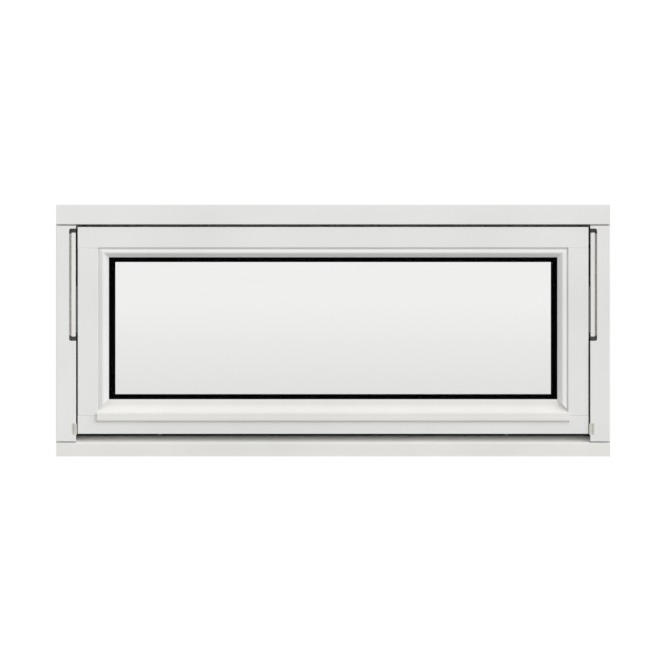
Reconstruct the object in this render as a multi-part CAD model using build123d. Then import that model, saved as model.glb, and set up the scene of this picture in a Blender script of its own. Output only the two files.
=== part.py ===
from build123d import *
import os

# Millimetres. X runs along the window, Y from outdoors (negative) to the room
# (positive), Z up from the underside of the sill. "Left" is -X, the left hand
# side seen from outdoors.

# Frame
frame_width = 1280
frame_height = 582
frame_depth = 115
member_face = 46
stop_lap = 15
sash_gap = 4
sash_head_gap = 6
arris = 1.5
lip_arris = 2.5
head_shadow_gap = 3.2
foot_shadow_gap = 2.6
shadow_gap_depth = 10
sash_joint_groove = 1.1
bead_joint_groove = 2.6
fixing_hole_radius = 5.1
fixing_hole_y = 2
fixing_hole_from_end = 120
corner_screw_y = 26
corner_screw_radius = 5
corner_screw_sink = 3

# Sill and its metal cladding
jamb_foot = 32
cladding_thickness = 2
cladding_nose_radius = 3
cladding_edge_radius = 1.5
sill_shelf_height = 46
sill_shelf_y = -8

# Sash
sash_setback = 3.5
sash_thickness = 68
sash_bottom = 52
seal_gap = 3
top_rail_face = 49
bottom_rail_face = 42
stile_face = 47

# Glazing rebate and beads
bead_lap = 3
bead_groove = 5.2
bead_setback = 1
bead_ridge = 9
bead_ridge_radius = 4
bead_shoulder = 13.4
bead_shoulder_radius = 6.5
side_bead_width = 25
top_bead_width = 21
inner_lip_thickness = 12

# Insulated glass: three panes, two spaces
pane_thickness = 4
pane_space = 12
gasket_thickness = 3
pane_clearance = 3
setting_block_height = 5
setting_block_length = 100
setting_block_from_end = 180
seal_inset = 2
side_seal_sight = 15
top_seal_sight = 11
bottom_seal_sight = 12
gasket_sight = 4
side_lip_sight = 12
rail_lip_sight = 7
inner_gasket_sight = 3

# Metal profile under the glass
drip_past_bead = 3
drip_height = 52
drip_below_joint = 14
drip_nose_height = 20
drip_waist_height = 24.4
drip_waist_radius = 20
drip_toe_radius = 5
drip_proud = 5.5
drip_top_width = 2.5
drip_wall = 2

# Sliding stays in the jambs
recess_depth_x = 16
recess_below_head = 9.5
recess_top_room = 9.5
recess_bottom_room = 10
recess_radius = 4.5
track_length = 240
track_width_x = 11
track_width_y = 36
track_wall = 2
track_inset = 0.8
track_corner = 2.5
track_edge = 2
track_setback = 3.5
track_flange_setback = 11
recess_behind_track = 8
shoe_height = 40
shoe_play = 0.5
shoe_below_track_top = 27
pivot_above_track_bottom = 13
arm_width = 12
arm_thickness = 2.5
arm_boss_radius = 5
shoe_pin_radius = 4
bracket_end = 20
bracket_thickness = 2.5
pocket_clearance = 0.3

# Guide plates at the bottom corners
guide_face = 12
guide_thickness = 2.2
guide_slot_from_edge = 3.5
guide_slot_width = 1.4
guide_slot_depth = 1.5
guide_below_sash = 2
guide_height = 26
guide_depth = 32

# Lock along the underside of the bottom rail
faceplate_from_end = 30
faceplate_width = 16
faceplate_thickness = 3
faceplate_y = 0
cam_radius = 4
cam_drop = 3
cam_from_end = 190
keep_length = 50
keep_width = 20
keep_thickness = 2

# Handle on the room side of the bottom rail
handle_above_stop = 34
rose_width = 30
rose_height = 56
rose_radius = 8
rose_thickness = 9
rose_chamfer = 1.5
neck_radius = 8
neck_length = 30
lever_length = 128
lever_height = 20
lever_thickness = 12
lever_round = 4

# Weatherstrips on the frame stops
strip_width = 10

# Frame and sash planes that follow from the sizes above
front = -frame_depth / 2
back = frame_depth / 2
half_width = frame_width / 2
jamb_inner = half_width - member_face
sash_edge = jamb_inner - sash_gap
stop_edge = sash_edge - stop_lap
head_bottom = frame_height - member_face
sash_top = head_bottom - sash_head_gap
head_stop = sash_top - stop_lap
sill_stop = sash_bottom + stop_lap
sash_front = front + sash_setback
sash_back = sash_front + sash_thickness
stop_front = sash_back + seal_gap
stile_bottom = sash_bottom + bottom_rail_face
stile_top = sash_top - top_rail_face

# Glazing planes
top_bead_lap = bead_lap * top_bead_width / side_bead_width
bead_outer_x = sash_edge - stile_face
bead_inner_x = bead_outer_x - side_bead_width
bead_inner_z = stile_top - top_bead_width
drip_bottom = stile_bottom - drip_below_joint
drip_top = drip_bottom + drip_height
clear_glass_half_width = bead_inner_x - side_seal_sight
clear_glass_top = bead_inner_z - top_seal_sight
clear_glass_bottom = drip_top + bottom_seal_sight
rebate_x = bead_outer_x - bead_lap
rebate_top = stile_top - top_bead_lap
rebate_back = sash_back - inner_lip_thickness
glass_back = rebate_back - gasket_thickness
glass_front = glass_back - 3 * pane_thickness - 2 * pane_space
bead_back = glass_front - gasket_thickness
groove_floor = sash_front + bead_groove
pane_half_width = rebate_x - pane_clearance
pane_top = rebate_top - pane_clearance
pane_bottom = drip_top - 2 * gasket_sight
rebate_bottom = pane_bottom - setting_block_height
lip_x = clear_glass_half_width + side_lip_sight
lip_top = clear_glass_top + rail_lip_sight
lip_bottom = clear_glass_bottom - rail_lip_sight
drip_front = sash_front - drip_proud
drip_half_length = bead_outer_x + drip_past_bead
drip_nose = drip_bottom + drip_nose_height

# Places of the stays and the lock
recess_top = head_bottom - recess_below_head
track_top = recess_top - recess_top_room
track_bottom = track_top - track_length
recess_bottom = track_bottom - recess_bottom_room
track_front = front + track_setback
track_back = track_front + track_width_y
track_y = (track_front + track_back) / 2
track_web = jamb_inner + track_width_x - track_wall
shoe_z = track_top - shoe_below_track_top
frame_pivot_z = track_bottom + pivot_above_track_bottom
sash_pivot_z = (frame_pivot_z + shoe_z) / 2
guide_bottom = sash_bottom - guide_below_sash
faceplate_half_length = sash_edge - faceplate_from_end
cam_x = sash_edge - cam_from_end
setting_block_x = pane_half_width - setting_block_from_end
handle_z = sill_stop + handle_above_stop


def outline(corners):
    """Face inside a closed line through (u, v, rounding radius) corners."""
    points = [(u, v) for u, v, _ in corners]
    radii = [radius for _, _, radius in corners]
    return make_face(FilletPolyline(*points, radius=radii, close=True))


def box_between(x_range, y_range, z_range):
    """Square-edged block between pairs of X, Y and Z limits."""
    size = [high - low for low, high in (x_range, y_range, z_range)]
    corner = Pos(x_range[0], y_range[0], z_range[0])
    return corner * Box(*size, align=(Align.MIN, Align.MIN, Align.MIN))


def along_x(face, start, end):
    """Bar with its section given in (Y, Z)."""
    return Pos(start, 0, 0) * extrude(Plane.YZ * face, amount=end - start)


def along_z(face, start, end):
    """Bar with its section given in (X, Y)."""
    return Pos(0, 0, start) * extrude(face, amount=end - start)


def along_y(face, start, end):
    """Plate with its outline given in (X, Z)."""
    return Pos(0, end, 0) * extrude(Plane.XZ * face, amount=end - start)


def left_of(part):
    """Mirror image for the left hand side."""
    return mirror(part, about=Plane.YZ)


def slab(u_range, v_range, radius):
    """Rectangle between two limits each way, all four corners rounded."""
    (u0, u1), (v0, v1) = u_range, v_range
    return outline([(u0, v0, radius), (u1, v0, radius), (u1, v1, radius), (u0, v1, radius)])


def joint_groove(z, size, reach):
    """V cut along X that breaks the front edge of a sash joint at height z."""
    face_y = sash_front
    mouth = 1
    section = make_face(Polyline(
        (face_y + size, z),
        (face_y - mouth, z - size - mouth),
        (face_y - mouth, z + size + mouth),
        close=True,
    ))
    return along_x(section, -reach, reach)


def corner_screw_sinks(face_z):
    """Four countersinks in a level outer face, over the middle of each jamb."""
    inward = -1 if face_z > 0 else 1
    sink = Cone(corner_screw_radius, corner_screw_radius / 2, corner_screw_sink)
    if inward < 0:
        sink = Cone(corner_screw_radius / 2, corner_screw_radius, corner_screw_sink)
    places = GridLocations(frame_width - member_face, 2 * corner_screw_y, 2, 2)
    return [Pos(0, 0, face_z + inward * corner_screw_sink / 2) * place * sink for place in places]


def frame_head():
    bar = outline([
        (front, head_bottom, arris),
        (back, head_bottom, 0),
        (back, frame_height, arris),
        (front, frame_height, arris),
    ])
    stop = outline([
        (stop_front, head_stop, arris),
        (back, head_stop, arris),
        (back, head_bottom, 0),
        (stop_front, head_bottom, 0),
    ])
    part = along_x(bar, -half_width, half_width) + along_x(stop, -stop_edge, stop_edge)
    return part - corner_screw_sinks(frame_height)


def jamb():
    section = outline([
        (jamb_inner, front, arris),
        (half_width, front, arris),
        (half_width, back, arris),
        (stop_edge, back, arris),
        (stop_edge, stop_front, arris),
        (jamb_inner, stop_front, 0),
    ])
    post = along_z(section, jamb_foot, head_bottom)
    recess = slab((sash_edge, jamb_inner + recess_depth_x), (recess_bottom, recess_top), recess_radius)
    post -= along_y(recess, front - 1, track_back + recess_behind_track)
    post -= box_between(
        (sash_edge, jamb_inner + guide_face - guide_thickness),
        (front - 1, front + guide_thickness),
        (guide_bottom, guide_bottom + guide_height),
    )
    hole = Cylinder(fixing_hole_radius, frame_width, rotation=(0, 90, 0))
    for height in (fixing_hole_from_end, frame_height - fixing_hole_from_end):
        post -= Pos(half_width, fixing_hole_y, height) * hole
    slot_y = (front, front + shadow_gap_depth)
    post -= box_between((0, half_width), slot_y, (jamb_foot, jamb_foot + foot_shadow_gap))
    return post - box_between((0, half_width), slot_y, (head_bottom - head_shadow_gap, head_bottom))


def sill():
    slope_start = front + cladding_thickness
    slope_foot = jamb_foot - cladding_thickness
    weathering = outline([
        (slope_start, 0, 0),
        (back, 0, arris),
        (back, jamb_foot, 0),
        (stop_front, jamb_foot, 0),
        (stop_front, sill_shelf_height, 0),
        (sill_shelf_y, sill_shelf_height, 0),
        (slope_start, slope_foot, 0),
    ])
    stop = outline([
        (stop_front, jamb_foot, 0),
        (back, jamb_foot, 0),
        (back, sill_stop, arris),
        (stop_front, sill_stop, arris),
    ])
    seat = outline([
        (slope_start, 0, 0),
        (back, 0, arris),
        (back, jamb_foot, 0),
        (slope_start, jamb_foot, 0),
    ])
    bar = along_x(weathering, -jamb_inner, jamb_inner)
    bar += along_x(stop, -stop_edge, stop_edge)
    bar += along_x(seat, -half_width, -jamb_inner)
    bar += along_x(seat, jamb_inner, half_width)
    return bar - corner_screw_sinks(0)


def sill_cladding():
    skirt_back = front + cladding_thickness
    rise = sill_shelf_height + cladding_thickness - jamb_foot
    slope = rise / (sill_shelf_y - skirt_back)
    sheet = outline([
        (front, 0, 0),
        (front, jamb_foot - slope * cladding_thickness, cladding_nose_radius),
        (sill_shelf_y, sill_shelf_height + cladding_thickness, 0),
        (sill_shelf_y, sill_shelf_height, 0),
        (skirt_back, jamb_foot - cladding_thickness, 0),
        (skirt_back, 0, 0),
    ])
    skirt = outline([
        (front, 0, 0),
        (front, jamb_foot, cladding_edge_radius),
        (skirt_back, jamb_foot, 0),
        (skirt_back, 0, 0),
    ])
    part = along_x(sheet, -jamb_inner, jamb_inner)
    part += along_x(skirt, -half_width, -jamb_inner)
    part += along_x(skirt, jamb_inner, half_width)
    return part


def sash_top_rail():
    rail = outline([
        (sash_front, stile_top, 0),
        (sash_back, stile_top, 0),
        (sash_back, sash_top, arris),
        (sash_front, sash_top, arris),
    ])
    part = along_x(rail, -sash_edge, sash_edge)
    part += box_between((-rebate_x, rebate_x), (groove_floor, rebate_back), (rebate_top, stile_top))
    lip = outline([
        (rebate_back, lip_top, 0),
        (sash_back, lip_top, lip_arris),
        (sash_back, stile_top, 0),
        (rebate_back, stile_top, 0),
    ])
    part += along_x(lip, -lip_x, lip_x)
    part -= joint_groove(stile_top, sash_joint_groove, sash_edge)
    part -= joint_groove(stile_top, bead_joint_groove, bead_outer_x)
    pocket = pivot_bracket(pocket_clearance)
    return part - pocket - left_of(pocket)


def sash_bottom_rail():
    rail = outline([
        (sash_front, sash_bottom, arris),
        (sash_back, sash_bottom, arris),
        (sash_back, stile_bottom, 0),
        (sash_front, stile_bottom, 0),
    ])
    part = along_x(rail, -sash_edge, sash_edge)
    part += box_between((-rebate_x, rebate_x), (bead_back, rebate_back), (stile_bottom, rebate_bottom))
    part -= joint_groove(stile_bottom, sash_joint_groove, sash_edge)
    lip = outline([
        (rebate_back, stile_bottom, 0),
        (sash_back, stile_bottom, 0),
        (sash_back, lip_bottom, lip_arris),
        (rebate_back, lip_bottom, 0),
    ])
    part += along_x(lip, -lip_x, lip_x)
    reach = faceplate_half_length + pocket_clearance
    side = faceplate_width / 2 + pocket_clearance
    part -= box_between(
        (-reach, reach),
        (faceplate_y - side, faceplate_y + side),
        (sash_bottom, sash_bottom + faceplate_thickness),
    )
    return part


def stile():
    section = outline([
        (sash_edge, sash_front, arris),
        (sash_edge, sash_back, arris),
        (lip_x, sash_back, lip_arris),
        (lip_x, rebate_back, 0),
        (rebate_x, rebate_back, 0),
        (rebate_x, groove_floor, 0),
        (bead_outer_x, groove_floor, 0),
        (bead_outer_x, sash_front, sash_joint_groove),
    ])
    post = along_z(section, stile_bottom, stile_top)
    for height in (stile_bottom, stile_top):
        post -= joint_groove(height, sash_joint_groove, sash_edge)
    return post - pivot_bracket(pocket_clearance)


def bead_section(width, lap):
    """Bead section: first number from the outer edge to the glass, second the depth Y."""
    scale = width / side_bead_width
    crest = sash_front + bead_setback
    return [
        (0, groove_floor, 0),
        (bead_ridge * scale, crest, bead_ridge_radius * scale),
        (bead_shoulder * scale, crest, bead_shoulder_radius * scale),
        (width, bead_back - gasket_thickness, arris),
        (width, bead_back, 0),
        (lap, bead_back, 0),
        (lap, groove_floor, 0),
    ]


def mitre_wedge():
    """Side bead's share of the right hand mitre, from the corner down."""
    slope = top_bead_width / side_bead_width
    reach = 2 * side_bead_width
    face = make_face(Polyline(
        (bead_outer_x - reach, stile_top - slope * reach),
        (bead_outer_x + reach, stile_top + slope * reach),
        (bead_outer_x + reach, drip_bottom),
        (bead_outer_x - reach, drip_bottom),
        close=True,
    ))
    return along_y(face, front - reach, back)


def foot_wedge():
    """Side bead's share of the right hand mitre with the profile under the glass."""
    mitre_foot = drip_top - side_bead_width
    face = make_face(Polyline(
        (bead_inner_x, drip_top),
        (bead_outer_x, mitre_foot),
        (half_width, mitre_foot),
        (half_width, stile_top),
        (bead_inner_x, stile_top),
        close=True,
    ))
    return along_y(face, front - side_bead_width, back)


def side_bead():
    side_section = bead_section(side_bead_width, bead_lap)
    section = outline([(bead_outer_x - u, y, r) for u, y, r in side_section])
    return along_z(section, drip_bottom, stile_top) & mitre_wedge() & foot_wedge()


def top_bead():
    top_section = bead_section(top_bead_width, top_bead_lap)
    section = outline([(y, stile_top - u, r) for u, y, r in top_section])
    wedge = mitre_wedge()
    return along_x(section, -bead_outer_x, bead_outer_x) - wedge - left_of(wedge)


def drip_envelope():
    """Outer line of the profile under the glass, closed straight down its back, in (Y, Z)."""
    return outline([
        (bead_back, drip_bottom, 0),
        (bead_back, drip_top, 0),
        (bead_back - drip_top_width, drip_top, 1),
        (bead_back - drip_top_width, drip_bottom + drip_waist_height, drip_waist_radius),
        (drip_front, drip_nose, 1.5),
        (drip_front, drip_bottom, drip_toe_radius),
    ])


def bottom_glazing_profile():
    wall = drip_envelope() - offset(drip_envelope(), amount=-drip_wall)
    extrusion = along_x(wall, -rebate_x, rebate_x)
    cap = along_x(drip_envelope(), rebate_x, drip_half_length)
    cap -= box_between((rebate_x, half_width), (groove_floor, back), (drip_bottom, drip_top))
    cap -= box_between((bead_outer_x, half_width), (sash_front, back), (drip_bottom, drip_top))
    part = extrusion + cap + left_of(cap)
    part -= box_between((-half_width, half_width), (sash_front, back), (drip_bottom, stile_bottom))
    return part - foot_wedge() - left_of(foot_wedge())


def pane(depth_from_front):
    y = glass_front + depth_from_front
    return box_between(
        (-pane_half_width, pane_half_width),
        (y, y + pane_thickness),
        (pane_bottom, pane_top),
    )


def four_strips(x_limits, z_limits, inner_x, inner_z, y_range):
    """Four straight strips round an opening, butted at the corners."""
    bottom, top = z_limits
    inner_bottom, inner_top = inner_z
    strips = Part() + box_between((-x_limits, x_limits), y_range, (bottom, inner_bottom))
    strips += box_between((-x_limits, x_limits), y_range, (inner_top, top))
    side = box_between((inner_x, x_limits), y_range, (inner_bottom, inner_top))
    return Compound(children=[*strips.solids(), *side.solids(), *left_of(side).solids()])


def spacer(depth_from_front):
    y = glass_front + depth_from_front
    return four_strips(
        pane_half_width - seal_inset,
        (pane_bottom + seal_inset, pane_top - seal_inset),
        clear_glass_half_width,
        (clear_glass_bottom, clear_glass_top),
        (y, y + pane_space),
    )


def outer_gasket():
    return four_strips(
        pane_half_width,
        (pane_bottom, pane_top),
        bead_inner_x - gasket_sight,
        (drip_top + gasket_sight, bead_inner_z - gasket_sight),
        (bead_back, glass_front),
    )


def inner_gasket():
    return four_strips(
        pane_half_width,
        (pane_bottom, pane_top),
        lip_x - inner_gasket_sight,
        (lip_bottom + inner_gasket_sight, lip_top - inner_gasket_sight),
        (glass_back, rebate_back),
    )


def setting_blocks():
    block = box_between(
        (setting_block_x - setting_block_length / 2, setting_block_x + setting_block_length / 2),
        (glass_front, glass_back),
        (rebate_bottom, pane_bottom),
    )
    return Compound(children=[*block.solids(), *left_of(block).solids()])


def frame_weatherstrips():
    inset = (stop_lap - strip_width) / 2
    return four_strips(
        sash_edge - inset,
        (sash_bottom + inset, sash_top - inset),
        stop_edge + inset,
        (sill_stop - inset, head_stop + inset),
        (sash_back, stop_front),
    )


def track():
    x_range = (jamb_inner + track_inset, jamb_inner + track_width_x)
    section = outline([
        (x_range[0], track_front, track_edge),
        (x_range[1], track_front, track_edge),
        (x_range[1], track_back, 0),
        (x_range[0], track_back, 0),
    ])
    body = along_z(section, track_bottom, track_top)
    body &= along_y(slab(x_range, (track_bottom, track_top), track_corner), track_front, track_back)
    body -= box_between(
        (0, track_web),
        (track_front + track_wall, track_back - track_wall),
        (track_bottom, track_top),
    )
    return body + box_between(
        (track_web, jamb_inner + recess_depth_x),
        (track_front + track_flange_setback, track_back),
        (track_bottom + track_corner, track_top - track_corner),
    )


def rod_along_x(radius, start, end, z):
    rod = Cylinder(radius, end - start, rotation=(0, 90, 0), align=(Align.CENTER, Align.CENTER, Align.MIN))
    return Pos(start, track_y, z) * rod


def slide_shoe():
    half_depth = track_width_y / 2 - track_wall - shoe_play
    block = box_between(
        (jamb_inner + shoe_play, track_web),
        (track_y - half_depth, track_y + half_depth),
        (shoe_z - shoe_height / 2, shoe_z + shoe_height / 2),
    )
    return block + rod_along_x(shoe_pin_radius, sash_edge, jamb_inner + shoe_play, shoe_z)


def rounded_strap(width, x_range, z_range):
    """Flat bar standing in a Y-Z plane with half-round ends."""
    radius = width / 2
    low, high = z_range
    middle = box_between(x_range, (track_y - radius, track_y + radius), (low + radius, high - radius))
    ends = rod_along_x(radius, *x_range, low + radius) + rod_along_x(radius, *x_range, high - radius)
    return middle + ends


def stay_arm():
    gap_middle = (sash_edge + jamb_inner) / 2
    x_range = (gap_middle - arm_thickness / 2, gap_middle + arm_thickness / 2)
    radius = arm_width / 2
    strap = rounded_strap(arm_width, x_range, (frame_pivot_z - radius, sash_pivot_z + radius))
    strap += rod_along_x(arm_boss_radius, x_range[1], track_web, frame_pivot_z)
    strap += rod_along_x(arm_boss_radius, sash_edge, x_range[0], sash_pivot_z)
    return strap


def pivot_bracket(clearance):
    """Plate let into the sash edge, or its pocket when grown by a clearance."""
    return rounded_strap(
        arm_width + 2 * clearance,
        (sash_edge - bracket_thickness, sash_edge),
        (sash_pivot_z - bracket_end - clearance, shoe_z + bracket_end + clearance),
    )


def corner_guide():
    z_range = (guide_bottom, guide_bottom + guide_height)
    face_start = jamb_inner - guide_thickness
    flange = box_between((face_start, face_start + guide_face), (front, front + guide_thickness), z_range)
    leg = box_between((face_start, jamb_inner), (front, front + guide_depth), z_range)
    slot_end = face_start + guide_face - guide_slot_from_edge
    slot = box_between(
        (slot_end - guide_slot_width, slot_end),
        (front, front + guide_slot_depth),
        z_range,
    )
    return flange + leg - slot


def lock_faceplate():
    radius = faceplate_width / 2
    reach = faceplate_half_length
    plate = box_between(
        (-reach, reach),
        (faceplate_y - radius, faceplate_y + radius),
        (sash_bottom, sash_bottom + faceplate_thickness),
    )
    for x in (-cam_x, cam_x):
        cam = Cylinder(cam_radius, cam_drop, align=(Align.CENTER, Align.CENTER, Align.MAX))
        plate += Pos(x, faceplate_y, sash_bottom) * cam
    return plate


def sill_keeps():
    keep = box_between(
        (cam_x - keep_length / 2, cam_x + keep_length / 2),
        (stop_front - keep_width, stop_front),
        (sill_shelf_height, sill_shelf_height + keep_thickness),
    )
    return Compound(children=[*keep.solids(), *left_of(keep).solids()])


def handle_rose():
    half = rose_width / 2
    low = handle_z - rose_height / 2
    plate = slab((-half, half), (low, low + rose_height), rose_radius)
    body = along_y(plate, sash_back, sash_back + rose_thickness)
    return chamfer(body.faces().sort_by(Axis.Y)[-1].edges(), rose_chamfer)


def handle_lever():
    face_y = sash_back + rose_thickness
    neck = Pos(0, face_y, handle_z) * Cylinder(
        neck_radius, neck_length, rotation=(-90, 0, 0), align=(Align.CENTER, Align.CENTER, Align.MIN)
    )
    half = lever_height / 2
    grip = slab((-half, lever_length - half), (handle_z - half, handle_z + half), half - 0.01)
    grip_y = face_y + neck_length
    bar = along_y(grip, grip_y, grip_y + lever_thickness)
    bar = fillet(bar.edges().filter_by(lambda edge: abs(edge.bounding_box().size.Y) < 1), lever_round)
    return neck + bar


def both_sides(name, right_part):
    return {"right_" + name: right_part, "left_" + name: left_of(right_part)}


parts = {
    "frame_head": frame_head(),
    "frame_sill": sill(),
    "sill_cladding": sill_cladding(),
    "sash_top_rail": sash_top_rail(),
    "sash_bottom_rail": sash_bottom_rail(),
    "top_glazing_bead": top_bead(),
    "bottom_glazing_profile": bottom_glazing_profile(),
    "outer_pane": pane(0),
    "middle_pane": pane(pane_thickness + pane_space),
    "inner_pane": pane(2 * (pane_thickness + pane_space)),
    "outer_spacer": spacer(pane_thickness),
    "inner_spacer": spacer(2 * pane_thickness + pane_space),
    "outer_gasket": outer_gasket(),
    "inner_gasket": inner_gasket(),
    "setting_blocks": setting_blocks(),
    "frame_weatherstrips": frame_weatherstrips(),
    "lock_faceplate": lock_faceplate(),
    "sill_keeps": sill_keeps(),
    "handle_rose": handle_rose(),
    "handle_lever": handle_lever(),
    **both_sides("jamb", jamb()),
    **both_sides("sash_stile", stile()),
    **both_sides("glazing_bead", side_bead()),
    **both_sides("stay_track", track()),
    **both_sides("slide_shoe", slide_shoe()),
    **both_sides("stay_arm", stay_arm()),
    **both_sides("pivot_bracket", pivot_bracket(0)),
    **both_sides("corner_guide", corner_guide()),
}

os.makedirs("parts", exist_ok=True)
for name, part in parts.items():
    export_step(part, "parts/" + name + ".step")
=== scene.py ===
import math

import bmesh
import bpy
from mathutils import Euler, Matrix, Vector


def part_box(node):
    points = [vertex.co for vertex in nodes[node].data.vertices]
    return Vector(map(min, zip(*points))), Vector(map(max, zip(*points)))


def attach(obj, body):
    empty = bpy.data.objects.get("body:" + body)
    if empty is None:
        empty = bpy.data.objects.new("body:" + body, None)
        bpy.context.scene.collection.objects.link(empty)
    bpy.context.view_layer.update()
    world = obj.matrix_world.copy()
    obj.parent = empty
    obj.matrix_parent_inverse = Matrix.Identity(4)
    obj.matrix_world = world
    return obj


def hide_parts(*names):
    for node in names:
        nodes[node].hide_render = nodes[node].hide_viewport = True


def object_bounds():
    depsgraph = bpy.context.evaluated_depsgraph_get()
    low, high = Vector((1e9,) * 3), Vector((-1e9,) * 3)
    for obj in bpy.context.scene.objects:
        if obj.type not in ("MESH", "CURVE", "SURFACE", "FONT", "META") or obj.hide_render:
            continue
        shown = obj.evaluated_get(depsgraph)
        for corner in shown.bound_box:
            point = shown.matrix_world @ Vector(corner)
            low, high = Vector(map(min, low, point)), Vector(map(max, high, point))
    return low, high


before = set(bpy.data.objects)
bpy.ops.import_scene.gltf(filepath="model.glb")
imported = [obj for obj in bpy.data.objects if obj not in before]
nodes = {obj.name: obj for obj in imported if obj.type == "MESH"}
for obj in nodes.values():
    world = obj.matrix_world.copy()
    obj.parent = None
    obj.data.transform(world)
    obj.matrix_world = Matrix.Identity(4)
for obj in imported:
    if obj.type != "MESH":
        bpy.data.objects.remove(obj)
cad_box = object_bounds()
MM = 0.001

# Photograph: orthographic and square, seen straight from outdoors
PHOTO_SIZE = 665
PHOTO_MM_PER_PIXEL = 2.3105
PHOTO_LEFT_PIXEL = 56.1
PHOTO_SILL_PIXEL = 456.4
CAMERA_DISTANCE = 4.0
CAMERA_CLIP_END = 20

# Colours as seen in the photograph or usual for the material, 0 to 255
PAINT = (226, 226, 225)
ALUMINIUM = (227, 226, 223)
GUIDE = (212, 211, 204)
# The two glass colours are painted shade: lighter at the top of the panes, darker towards the
# bottom
GLASS_PAINTED_LIGHT_TOP = (239, 239, 238)
GLASS_PAINTED_SHADE_BOTTOM = (225, 225, 224)
BLACK = (3, 3, 3)
RUBBER = (70, 70, 71)
ZINC = (128, 131, 135)
NYLON = (48, 50, 52)
BLOCK = (66, 72, 76)
FLOOR = (236, 236, 234)
FLOOR_BOUNCE = (183, 183, 181)

# Materials
GRAIN_ALONG = 2.5
GRAIN_ACROSS = 60
ZINC_ALONG = 1.5
ZINC_ACROSS = 60
RUBBER_ROUGHNESS = (0.6, 0.8)
BLACK_SPECULAR = 0.03

# Glass: three panes with painted shade, lighter above and darker below between two shares of
# their height. The index is below that of real glass, so that the black edge seal doesn't
# mirror the white surround.
PANES = 3
GLASS_PAINTED_SHADE_LOW = 0.05
GLASS_PAINTED_SHADE_HIGH = 0.65
GLASS_IOR = 1.1

# Light: a plain surround, one soft lamp above on the right in front, a weak low one behind
SURROUND = 0.81
SUN_STRENGTH = 1.8
SUN_TOWARDS = (0.38, -0.30, 0.33)
SUN_SPREAD = 60
BACK_STRENGTH = 0.7
BACK_TOWARDS = (-0.35, 0.85, 0.18)
BACK_SPREAD = 60
FLOOR_HALF = 6.0
FLOOR_ROUGHNESS = 0.9

# Screws: a countersunk head whose recess is given in shares of the head's radius
SCREW_RADIUS = 4.7 * MM
SCREW_BELOW_FACE = 0.2 * MM
SCREW_CONE = 2.7 * MM
SCREW_SHANK = 2.5 * MM
SCREW_EDGE_FOOT = 0.35 * MM
SCREW_EDGE_TOP = 0.15 * MM
SCREW_EDGE_BEVEL = 0.25 * MM
CROWN_REACH = 0.8
CROWN_HEIGHT = 0.6
RECESS_REACH = 0.56
RECESS_HALF_WIDTH = 0.13
RECESS_TAPER = 0.8
RECESS_DEPTH = 1.6 * MM
RECESS_STEPS = 2

# Where the screws stand, with the CAD's sizes, and how far each is turned in radians
MEMBER_FACE = 46 * MM
CORNER_SCREW_Y = 26 * MM
CORNER_SCREW_SPIN = 0.4
CORNER_SCREW_TURN = 0.7
ROSE_SCREW_SPACING = 43 * MM
ROSE_SCREW_RADIUS = 3.0 * MM
ROSE_SCREW_PROUD = 0.25 * MM
ROSE_SCREW_SPIN = 0.3
ROSE_SCREW_TURN = 1.0

# Collar round the neck of the handle
COLLAR_INNER = 8.0 * MM
COLLAR_OUTER = 11.0 * MM
COLLAR_HEIGHT = 3.5 * MM
COLLAR_ROUND = 1.2 * MM
COLLAR_STEPS = 64

# Rubber sections; a tip or edge is a share of the section's full thickness
GASKET_LIP = 3.6 * MM
GASKET_TIP = 0.25
WEATHERSTRIP_FOOT = 0.9 * MM
WEATHERSTRIP_SHOULDER = 1.2 * MM
# The flap's black darkens the shaded gap under the sash: painted shade
FLAP_CLEARANCE = 0.2 * MM
FLAP_END_CLEARANCE = 0.6 * MM
FLAP_THICKNESS = 2.5 * MM
FLAP_EDGE = 0.4

ARC_STEPS = 6
SAME_DIGITS = 5

UP = Euler((0, 0, 0))
DOWN = Euler((math.pi, 0, 0))
INTO_ROOM = Euler((-math.pi / 2, 0, 0))


def linear(colour):
    """Scene-linear RGBA from 0 to 255 display values."""
    def one(value):
        c = value / 255
        return c / 12.92 if c <= 0.04045 else ((c + 0.055) / 1.055) ** 2.4
    return (*[one(value) for value in colour], 1.0)


def shade(colour, factor):
    return tuple(min(255, value * factor) for value in colour)


def per_pane(colour):
    """Tint of one pane where light through all of them shows the given colour."""
    return (*[part ** (1 / PANES) for part in linear(colour)[:3]], 1.0)


class Nodes:
    """Adds and joins the nodes of one shader tree."""

    def __init__(self, tree):
        self.tree = tree

    def node(self, kind, **settings):
        made = self.tree.nodes.new(kind)
        for key, value in settings.items():
            setattr(made, key, value)
        return made

    def link(self, source, target):
        self.tree.links.new(source, target)

    def combine(self, operation, first, second):
        """One math node over two outputs, or over an output and a number."""
        made = self.node("ShaderNodeMath", operation=operation)
        self.link(first, made.inputs[0])
        if isinstance(second, (int, float)):
            made.inputs[1].default_value = second
        else:
            self.link(second, made.inputs[1])
        return made.outputs[0]


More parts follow.
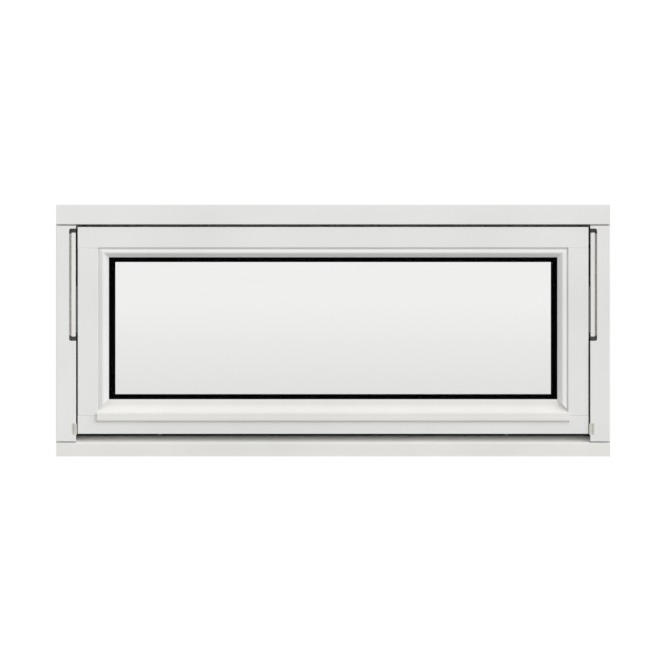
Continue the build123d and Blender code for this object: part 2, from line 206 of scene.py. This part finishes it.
class Material(Nodes):
    """One material around its Principled shader."""

    def __init__(self, name):
        self.data = bpy.data.materials.new(name)
        self.data.use_nodes = True
        super().__init__(self.data.node_tree)
        self.shader = self.tree.nodes["Principled BSDF"]

    def base(self, colour):
        self.link(colour, self.shader.inputs["Base Color"])

    def position(self, stretch=(1, 1, 1)):
        """Object coordinates, scaled along each axis."""
        coordinates = self.node("ShaderNodeTexCoord")
        mapping = self.node("ShaderNodeMapping")
        mapping.inputs["Scale"].default_value = stretch
        self.link(coordinates.outputs["Object"], mapping.inputs["Vector"])
        return mapping.outputs["Vector"]

    def noise(self, scale, detail, stretch=(1, 1, 1)):
        texture = self.node("ShaderNodeTexNoise")
        texture.inputs["Scale"].default_value = scale
        texture.inputs["Detail"].default_value = detail
        self.link(self.position(stretch), texture.inputs["Vector"])
        return texture.outputs["Fac"]

    def ramp(self, factor, stops):
        """Colour ramp from (position, colour) stops."""
        made = self.node("ShaderNodeValToRGB")
        elements = made.color_ramp.elements
        while len(elements) < len(stops):
            elements.new(0.5)
        for element, (place, colour) in zip(elements, stops):
            element.position = place
            element.color = colour
        self.link(factor, made.inputs["Fac"])
        return made.outputs["Color"]

    def patches(self, colour, scale, darkest, lightest, detail=2, spread=(0.3, 0.7)):
        """Colour that drifts in patches between a darker and a lighter shade of itself."""
        start, end = spread
        return self.ramp(self.noise(scale, detail), [
            (start, linear(shade(colour, darkest))),
            (end, linear(shade(colour, lightest))),
        ])

    def roughness(self, factor, low, high):
        spread = self.node("ShaderNodeMapRange")
        spread.inputs["To Min"].default_value = low
        spread.inputs["To Max"].default_value = high
        self.link(factor, spread.inputs["Value"])
        self.link(spread.outputs["Result"], self.shader.inputs["Roughness"])

    def bump(self, heights, strength, distance):
        """Bump from the sum of (factor, weight) heights."""
        total = None
        for factor, weight in heights:
            scaled = self.combine("MULTIPLY", factor, weight)
            total = scaled if total is None else self.combine("ADD", total, scaled)
        made = self.node("ShaderNodeBump")
        made.inputs["Strength"].default_value = strength
        made.inputs["Distance"].default_value = distance
        self.link(total, made.inputs["Height"])
        self.link(made.outputs["Normal"], self.shader.inputs["Normal"])


def painted_timber(name, grain_axis):
    """Satin white paint over timber, its faint grain running along one axis (0 X, 2 Z)."""
    made = Material(name)
    stretch = [GRAIN_ACROSS] * 3
    stretch[grain_axis] = GRAIN_ALONG
    wood = made.noise(scale=7, detail=4, stretch=tuple(stretch))
    film = made.noise(scale=900, detail=2)
    made.base(made.patches(PAINT, scale=4, darkest=0.985, lightest=1.012))
    made.roughness(film, low=0.42, high=0.55)
    made.bump([(wood, 1.0), (film, 0.25)], strength=0.25, distance=0.25 * MM)
    return made.data


def powder_coat(name, colour):
    """Fine-textured powder coat on metal."""
    made = Material(name)
    peel = made.noise(scale=1500, detail=2)
    made.base(made.patches(colour, scale=6, darkest=0.985, lightest=1.01))
    made.roughness(peel, low=0.38, high=0.5)
    made.bump([(peel, 1.0)], strength=0.2, distance=0.1 * MM)
    return made.data


def moulded(name, colour, roughness=(0.45, 0.6), specular=0.5):
    """Moulded plastic or rubber with a fine matt grain."""
    made = Material(name)
    made.shader.inputs["Specular IOR Level"].default_value = specular
    grain = made.noise(scale=2200, detail=2)
    made.base(made.patches(colour, scale=25, darkest=0.93, lightest=1.06))
    made.roughness(grain, *roughness)
    made.bump([(grain, 1.0)], strength=0.25, distance=0.08 * MM)
    return made.data


def zinc_plate(name):
    """Zinc-plated steel with drawing marks that run along Z."""
    made = Material(name)
    drawn = made.noise(scale=40, detail=3, stretch=(ZINC_ACROSS, ZINC_ACROSS, ZINC_ALONG))
    made.base(made.patches(
        ZINC, scale=90, darkest=0.9, lightest=1.08, detail=3, spread=(0.25, 0.75),
    ))
    made.shader.inputs["Metallic"].default_value = 1.0
    made.roughness(drawn, low=0.28, high=0.45)
    made.bump([(drawn, 1.0)], strength=0.15, distance=0.05 * MM)
    return made.data


def clear_glass(name):
    """Float glass with painted shade: even in its upper part and darker towards the bottom;
    lamps pass through it, shaded the same way.
    """
    made = Material(name)
    low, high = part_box("outer_pane")
    split = made.node("ShaderNodeSeparateXYZ")
    made.link(made.position(), split.inputs["Vector"])
    height = made.node("ShaderNodeMapRange")
    height.inputs["From Min"].default_value = low.z
    height.inputs["From Max"].default_value = high.z
    made.link(split.outputs["Z"], height.inputs["Value"])
    # Painted shade: the glass colour darkens towards the bottom by height
    glass_painted_shade = made.ramp(height.outputs["Result"], [
        (GLASS_PAINTED_SHADE_LOW, per_pane(GLASS_PAINTED_SHADE_BOTTOM)),
        (GLASS_PAINTED_SHADE_HIGH, per_pane(GLASS_PAINTED_LIGHT_TOP)),
    ])
    made.base(glass_painted_shade)
    made.shader.inputs["Transmission Weight"].default_value = 1.0
    made.shader.inputs["Roughness"].default_value = 0.0
    made.shader.inputs["IOR"].default_value = GLASS_IOR
    path = made.node("ShaderNodeLightPath")
    shadow = made.node("ShaderNodeBsdfTransparent")
    made.link(glass_painted_shade, shadow.inputs["Color"])
    lit_through = made.combine(
        "MAXIMUM", path.outputs["Is Shadow Ray"], path.outputs["Is Diffuse Ray"],
    )
    mix = made.node("ShaderNodeMixShader")
    made.link(lit_through, mix.inputs["Fac"])
    made.link(made.shader.outputs["BSDF"], mix.inputs[1])
    made.link(shadow.outputs["BSDF"], mix.inputs[2])
    made.link(mix.outputs["Shader"], made.tree.nodes["Material Output"].inputs["Surface"])
    return made.data


def arc(turn, steps):
    """Cosine and sine at even steps from 0 to an angle in radians, both ends with it."""
    angles = [turn * step / steps for step in range(steps + 1)]
    return [(math.cos(angle), math.sin(angle)) for angle in angles]


def join(mesh, ring, other):
    """Skins the space between two closed rings of as many points."""
    for index in range(len(ring)):
        after = (index + 1) % len(ring)
        mesh.faces.new((ring[index], ring[after], other[after], other[index]))


def join_loop(mesh, rings):
    """Skins a closed chain of equal closed rings."""
    for ring, after in zip(rings, rings[1:] + rings[:1]):
        join(mesh, ring, after)


def add_piece(name, mesh, material, replaced=()):
    """Turns a bmesh into a piece that rides on the window."""
    bmesh.ops.recalc_face_normals(mesh, faces=mesh.faces)
    data = bpy.data.meshes.new(name)
    mesh.to_mesh(data)
    mesh.free()
    data.materials.append(material)
    piece = bpy.data.objects.new(name, data)
    bpy.context.collection.objects.link(piece)
    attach(piece, "root")
    if replaced:
        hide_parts(*replaced)
    return piece


def cross_and_rim():
    """Outline of a cross recess, and as many directions round the screw head's rim."""
    corners = []
    for quarter in range(4):
        turn = Matrix.Rotation(math.radians(90 * quarter), 2)
        for x, y in [
            (RECESS_REACH, 0),
            (RECESS_REACH, RECESS_HALF_WIDTH),
            (RECESS_HALF_WIDTH, RECESS_HALF_WIDTH),
            (RECESS_HALF_WIDTH, RECESS_REACH),
        ]:
            corners.append(turn @ Vector((x, y)))
    outline, rim = [], []
    count = len(corners) * RECESS_STEPS
    for index in range(count):
        here, part = divmod(index, RECESS_STEPS)
        start, end = corners[here], corners[(here + 1) % len(corners)]
        outline.append(start.lerp(end, part / RECESS_STEPS))
        angle = 2 * math.pi * index / count
        rim.append(Vector((math.cos(angle), math.sin(angle))))
    return outline, rim


def add_screw(mesh, place, radius=SCREW_RADIUS, dome=0.0):
    """Countersunk head with a cross recess; place turns its local Z out of the face."""
    outline, rim = cross_and_rim()
    scale = radius / SCREW_RADIUS
    shape = [
        (rim, SCREW_SHANK * scale, -SCREW_CONE * scale),
        (rim, radius, -SCREW_EDGE_FOOT),
        (rim, radius, -SCREW_EDGE_TOP),
        (rim, radius - SCREW_EDGE_BEVEL, 0.0),
        (rim, CROWN_REACH * radius, CROWN_HEIGHT * dome),
        (outline, radius, dome),
        (outline, RECESS_TAPER * radius, dome - RECESS_DEPTH * scale),
    ]
    rings = []
    for directions, reach, height in shape:
        points = [place @ Vector((*(direction * reach), height)) for direction in directions]
        rings.append([mesh.verts.new(point) for point in points])
    for lower, upper in zip(rings, rings[1:]):
        join(mesh, lower, upper)
    mesh.faces.new(list(reversed(rings[0])))
    mesh.faces.new(rings[-1])


def facing(x, y, z, turn, spin):
    """Place with its local Z turned by an Euler angle and spun about itself."""
    moved = Matrix.Translation((x, y, z))
    return moved @ turn.to_matrix().to_4x4() @ Matrix.Rotation(spin, 4, "Z")


def corner_screws(material):
    """Four screws through the head and four through the sill, into the ends of the jambs."""
    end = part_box("frame_head")[1]
    middle_x = end.x - MEMBER_FACE / 2
    for name, z, turn in (
        ("head_screws", end.z - SCREW_BELOW_FACE, UP),
        ("sill_screws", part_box("frame_sill")[0].z + SCREW_BELOW_FACE, DOWN),
    ):
        mesh = bmesh.new()
        for number, (side, depth) in enumerate([(-1, -1), (-1, 1), (1, -1), (1, 1)]):
            spin = CORNER_SCREW_SPIN + CORNER_SCREW_TURN * number
            add_screw(mesh, facing(side * middle_x, depth * CORNER_SCREW_Y, z, turn, spin))
        add_piece(name, mesh, material)


def rose_screws(material):
    """Two screws in the handle's rose, above and below the neck."""
    low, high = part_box("handle_rose")
    x = (low.x + high.x) / 2
    middle_z = (low.z + high.z) / 2
    mesh = bmesh.new()
    for number, side in enumerate((-1, 1)):
        z = middle_z + side * ROSE_SCREW_SPACING / 2
        spin = ROSE_SCREW_SPIN + ROSE_SCREW_TURN * number
        place = facing(x, high.y + ROSE_SCREW_PROUD, z, INTO_ROOM, spin)
        add_screw(mesh, place, ROSE_SCREW_RADIUS, ROSE_SCREW_PROUD)
    add_piece("rose_screws", mesh, material)


def handle_collar(material):
    """Ring with a rounded rim round the handle's neck, on the rose."""
    low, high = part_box("handle_rose")
    x = (low.x + high.x) / 2
    z = (low.z + high.z) / 2
    section = [(COLLAR_INNER, 0.0), (COLLAR_OUTER, 0.0)]
    for across, out in arc(math.pi / 2, ARC_STEPS):
        section.append((
            COLLAR_OUTER - COLLAR_ROUND + COLLAR_ROUND * across,
            COLLAR_HEIGHT - COLLAR_ROUND + COLLAR_ROUND * out,
        ))
    section.append((COLLAR_INNER, COLLAR_HEIGHT))
    mesh = bmesh.new()
    rings = []
    for across, up in arc(2 * math.pi, COLLAR_STEPS)[:-1]:
        points = [(x + r * across, high.y + out, z + r * up) for r, out in section]
        rings.append([mesh.verts.new(point) for point in points])
    join_loop(mesh, rings)
    collar = add_piece("handle_collar", mesh, material)
    collar.data.shade_smooth()


def opening(name):
    """Inner half width, bottom and top of a node made as a frame of four strips."""
    corners = nodes[name].data.vertices
    widths = sorted({round(abs(v.co.x), SAME_DIGITS) for v in corners})
    heights = sorted({round(v.co.z, SAME_DIGITS) for v in corners})
    return widths[0], heights[1], heights[2]


def frame_piece(name, section, material):
    """Rubber frame with mitred corners in place of a node.

    The section is (outward, Y) pairs from the inner opening; None is the node's outer edge.
    """
    half_width, bottom, top = opening(name)
    low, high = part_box(name)
    mesh = bmesh.new()
    rings = []
    for side, up in ((-1, -1), (1, -1), (1, 1), (-1, 1)):
        ring = []
        for outward, y in section:
            if outward is None:
                x, z = high.x, high.z if up > 0 else low.z
            else:
                x, z = half_width + outward, top + outward if up > 0 else bottom - outward
            ring.append(mesh.verts.new((side * x, y, z)))
        rings.append(ring)
    join_loop(mesh, rings)
    add_piece(name + "_lips", mesh, material, [name])


def gasket_lips(name, glass, bead, material):
    """Gasket between the glass and the bead, with a lip that tapers towards the opening."""
    section = [(0.0, glass)]
    for across, rise in arc(math.pi / 2, ARC_STEPS)[1:]:
        share = GASKET_TIP + (1 - GASKET_TIP) * rise
        section.append((GASKET_LIP * (1 - across), glass + (bead - glass) * share))
    section += [(None, bead), (None, glass)]
    frame_piece(name, section, material)


def weatherstrip_bulb(material):
    """Bulb seal on the frame's stops, from a thin foot towards the sash."""
    low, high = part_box("frame_weatherstrips")
    half = (high.x - opening("frame_weatherstrips")[0]) / 2
    foot = high.y - WEATHERSTRIP_FOOT
    section = [(0.0, high.y), (0.0, foot)]
    for across, rise in arc(math.pi, 2 * ARC_STEPS):
        outward = half - (half - WEATHERSTRIP_SHOULDER) * across
        section.append((outward, foot - (foot - low.y) * rise))
    section += [(None, foot), (None, high.y)]
    frame_piece("frame_weatherstrips", section, material)


def sill_shade_flap(material):
    """Black rubber flap on the sill's stop, in the gap that the sash leaves over the sill; its
    black also stands in for the shade there, as painted shade.
    """
    seal_low, seal_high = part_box("frame_weatherstrips")
    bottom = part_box("sill_keeps")[1].z + FLAP_CLEARANCE
    top = seal_low.z - FLAP_CLEARANCE
    back = seal_high.y
    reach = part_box("frame_head")[1].x - MEMBER_FACE - FLAP_END_CLEARANCE
    section = [(back, top), (back, bottom)]
    for across, rise in arc(math.pi, 2 * ARC_STEPS):
        section.append((
            back - FLAP_THICKNESS * (FLAP_EDGE + (1 - FLAP_EDGE) * rise),
            (bottom + top) / 2 - (top - bottom) / 2 * across,
        ))
    mesh = bmesh.new()
    ends = [[mesh.verts.new((x, y, z)) for y, z in section] for x in (-reach, reach)]
    join(mesh, *ends)
    for end in ends:
        mesh.faces.new(end)
    add_piece("sill_shade_flap", mesh, material)


def dress(names, material):
    """Gives CAD nodes a finished material."""
    for name in names:
        data = nodes[name].data
        data.materials.clear()
        data.materials.append(material)


def pair(name):
    return ["left_" + name, "right_" + name]


def finish_window():
    """Materials on the CAD nodes, and the pieces added to them."""
    across = painted_timber("painted_timber_across", 0)
    upright = painted_timber("painted_timber_upright", 2)
    dress([
        "frame_head", "frame_sill", "sash_top_rail", "sash_bottom_rail", "top_glazing_bead",
    ], across)
    dress(pair("jamb") + pair("sash_stile") + pair("glazing_bead"), upright)

    aluminium = powder_coat("coated_aluminium", ALUMINIUM)
    dress(["sill_cladding", "bottom_glazing_profile"], aluminium)
    dress(pair("stay_track"), powder_coat("track_coat", ALUMINIUM))
    dress(pair("corner_guide"), moulded("guide_plastic", GUIDE))

    dress(["outer_pane", "middle_pane", "inner_pane"], clear_glass("clear_glass"))
    edge_seal = moulded("edge_seal", BLACK, RUBBER_ROUGHNESS, BLACK_SPECULAR)
    dress(["outer_spacer", "inner_spacer"], edge_seal)
    gasket = moulded("gasket_rubber", BLACK, RUBBER_ROUGHNESS, BLACK_SPECULAR)
    dress(["outer_gasket", "inner_gasket"], gasket)
    weatherstrip = moulded("weatherstrip_rubber", RUBBER, RUBBER_ROUGHNESS)
    dress(["frame_weatherstrips"], weatherstrip)
    dress(["setting_blocks"], moulded("block_plastic", BLOCK))

    dress(pair("slide_shoe"), moulded("shoe_nylon", NYLON, (0.3, 0.45)))
    zinc = zinc_plate("zinc_steel")
    dress(pair("stay_arm") + pair("pivot_bracket") + ["lock_faceplate", "sill_keeps"], zinc)
    coat = powder_coat("handle_coat", PAINT)
    dress(["handle_rose", "handle_lever"], coat)

    corner_screws(zinc)
    rose_screws(zinc)
    handle_collar(coat)
    outer_front, outer_back = [corner.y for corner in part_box("outer_gasket")]
    gasket_lips("outer_gasket", outer_back, outer_front, gasket)
    inner_front, inner_back = [corner.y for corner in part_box("inner_gasket")]
    gasket_lips("inner_gasket", inner_front, inner_back, gasket)
    weatherstrip_bulb(weatherstrip)
    # Black flap that deepens the shade under the sash: painted shade
    sill_shade_flap(gasket)


def add_camera():
    """Level orthographic camera at the photograph's place and scale."""
    data = bpy.data.cameras.new("camera")
    data.type = "ORTHO"
    data.ortho_scale = PHOTO_SIZE * PHOTO_MM_PER_PIXEL * MM
    data.clip_end = CAMERA_CLIP_END
    camera = bpy.data.objects.new("camera", data)
    middle = PHOTO_SIZE / 2
    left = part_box("frame_head")[0].x
    x = left + (middle - PHOTO_LEFT_PIXEL) * PHOTO_MM_PER_PIXEL * MM
    z = (PHOTO_SILL_PIXEL - middle) * PHOTO_MM_PER_PIXEL * MM
    camera.location = (x, cad_box[0].y - CAMERA_DISTANCE, z)
    camera.rotation_euler = (math.radians(90), 0, 0)
    bpy.context.collection.objects.link(camera)
    bpy.context.scene.camera = camera


def add_sun(name, strength, towards, spread):
    """Soft distant lamp; gloss and glass show the surround and not the lamp."""
    lamp = bpy.data.lights.new(name, "SUN")
    lamp.energy = strength
    lamp.angle = math.radians(spread)
    sun = bpy.data.objects.new(name, lamp)
    sun.rotation_mode = "QUATERNION"
    sun.rotation_quaternion = Vector(towards).to_track_quat("Z", "Y")
    sun.visible_glossy = False
    sun.visible_transmission = False
    bpy.context.collection.objects.link(sun)


def add_light():
    """White surround for what is seen, mirrored or seen through, a little less as light."""
    world = bpy.data.worlds.new("surround")
    bpy.context.scene.world = world
    world.use_nodes = True
    surround = Nodes(world.node_tree)
    background = surround.tree.nodes["Background"]
    background.inputs["Color"].default_value = (1, 1, 1, 1)
    path = surround.node("ShaderNodeLightPath").outputs
    seen = surround.combine("MAXIMUM", path["Is Camera Ray"], path["Is Glossy Ray"])
    seen = surround.combine("MAXIMUM", seen, path["Is Transmission Ray"])
    strength = surround.node("ShaderNodeMapRange")
    strength.inputs["To Min"].default_value = SURROUND
    strength.inputs["To Max"].default_value = 1.0
    surround.link(seen, strength.inputs["Value"])
    surround.link(strength.outputs["Result"], background.inputs["Strength"])
    add_sun("sun", SUN_STRENGTH, SUN_TOWARDS, SUN_SPREAD)
    add_sun("back_light", BACK_STRENGTH, BACK_TOWARDS, BACK_SPREAD)


def add_floor():
    """Pale floor that throws less light back at the window than it shows."""
    made = Material("floor")
    tone = made.patches(FLOOR, scale=3, darkest=0.995, lightest=1.0)
    path = made.node("ShaderNodeLightPath")
    seen = made.node("ShaderNodeMix", data_type="RGBA")
    seen.inputs["B"].default_value = linear(FLOOR_BOUNCE)
    made.link(path.outputs["Is Diffuse Ray"], seen.inputs["Factor"])
    made.link(tone, seen.inputs["A"])
    made.base(seen.outputs["Result"])
    made.shader.inputs["Roughness"].default_value = FLOOR_ROUGHNESS
    mesh = bpy.data.meshes.new("floor")
    corners = [
        (x * FLOOR_HALF, y * FLOOR_HALF, 0) for x, y in ((-1, -1), (1, -1), (1, 1), (-1, 1))
    ]
    mesh.from_pydata(corners, [], [(0, 1, 2, 3)])
    mesh.materials.append(made.data)
    floor = bpy.data.objects.new("floor", mesh)
    bpy.context.collection.objects.link(floor)


finish_window()
add_camera()
add_light()
add_floor()
bpy.context.scene.view_settings.view_transform = "Standard"
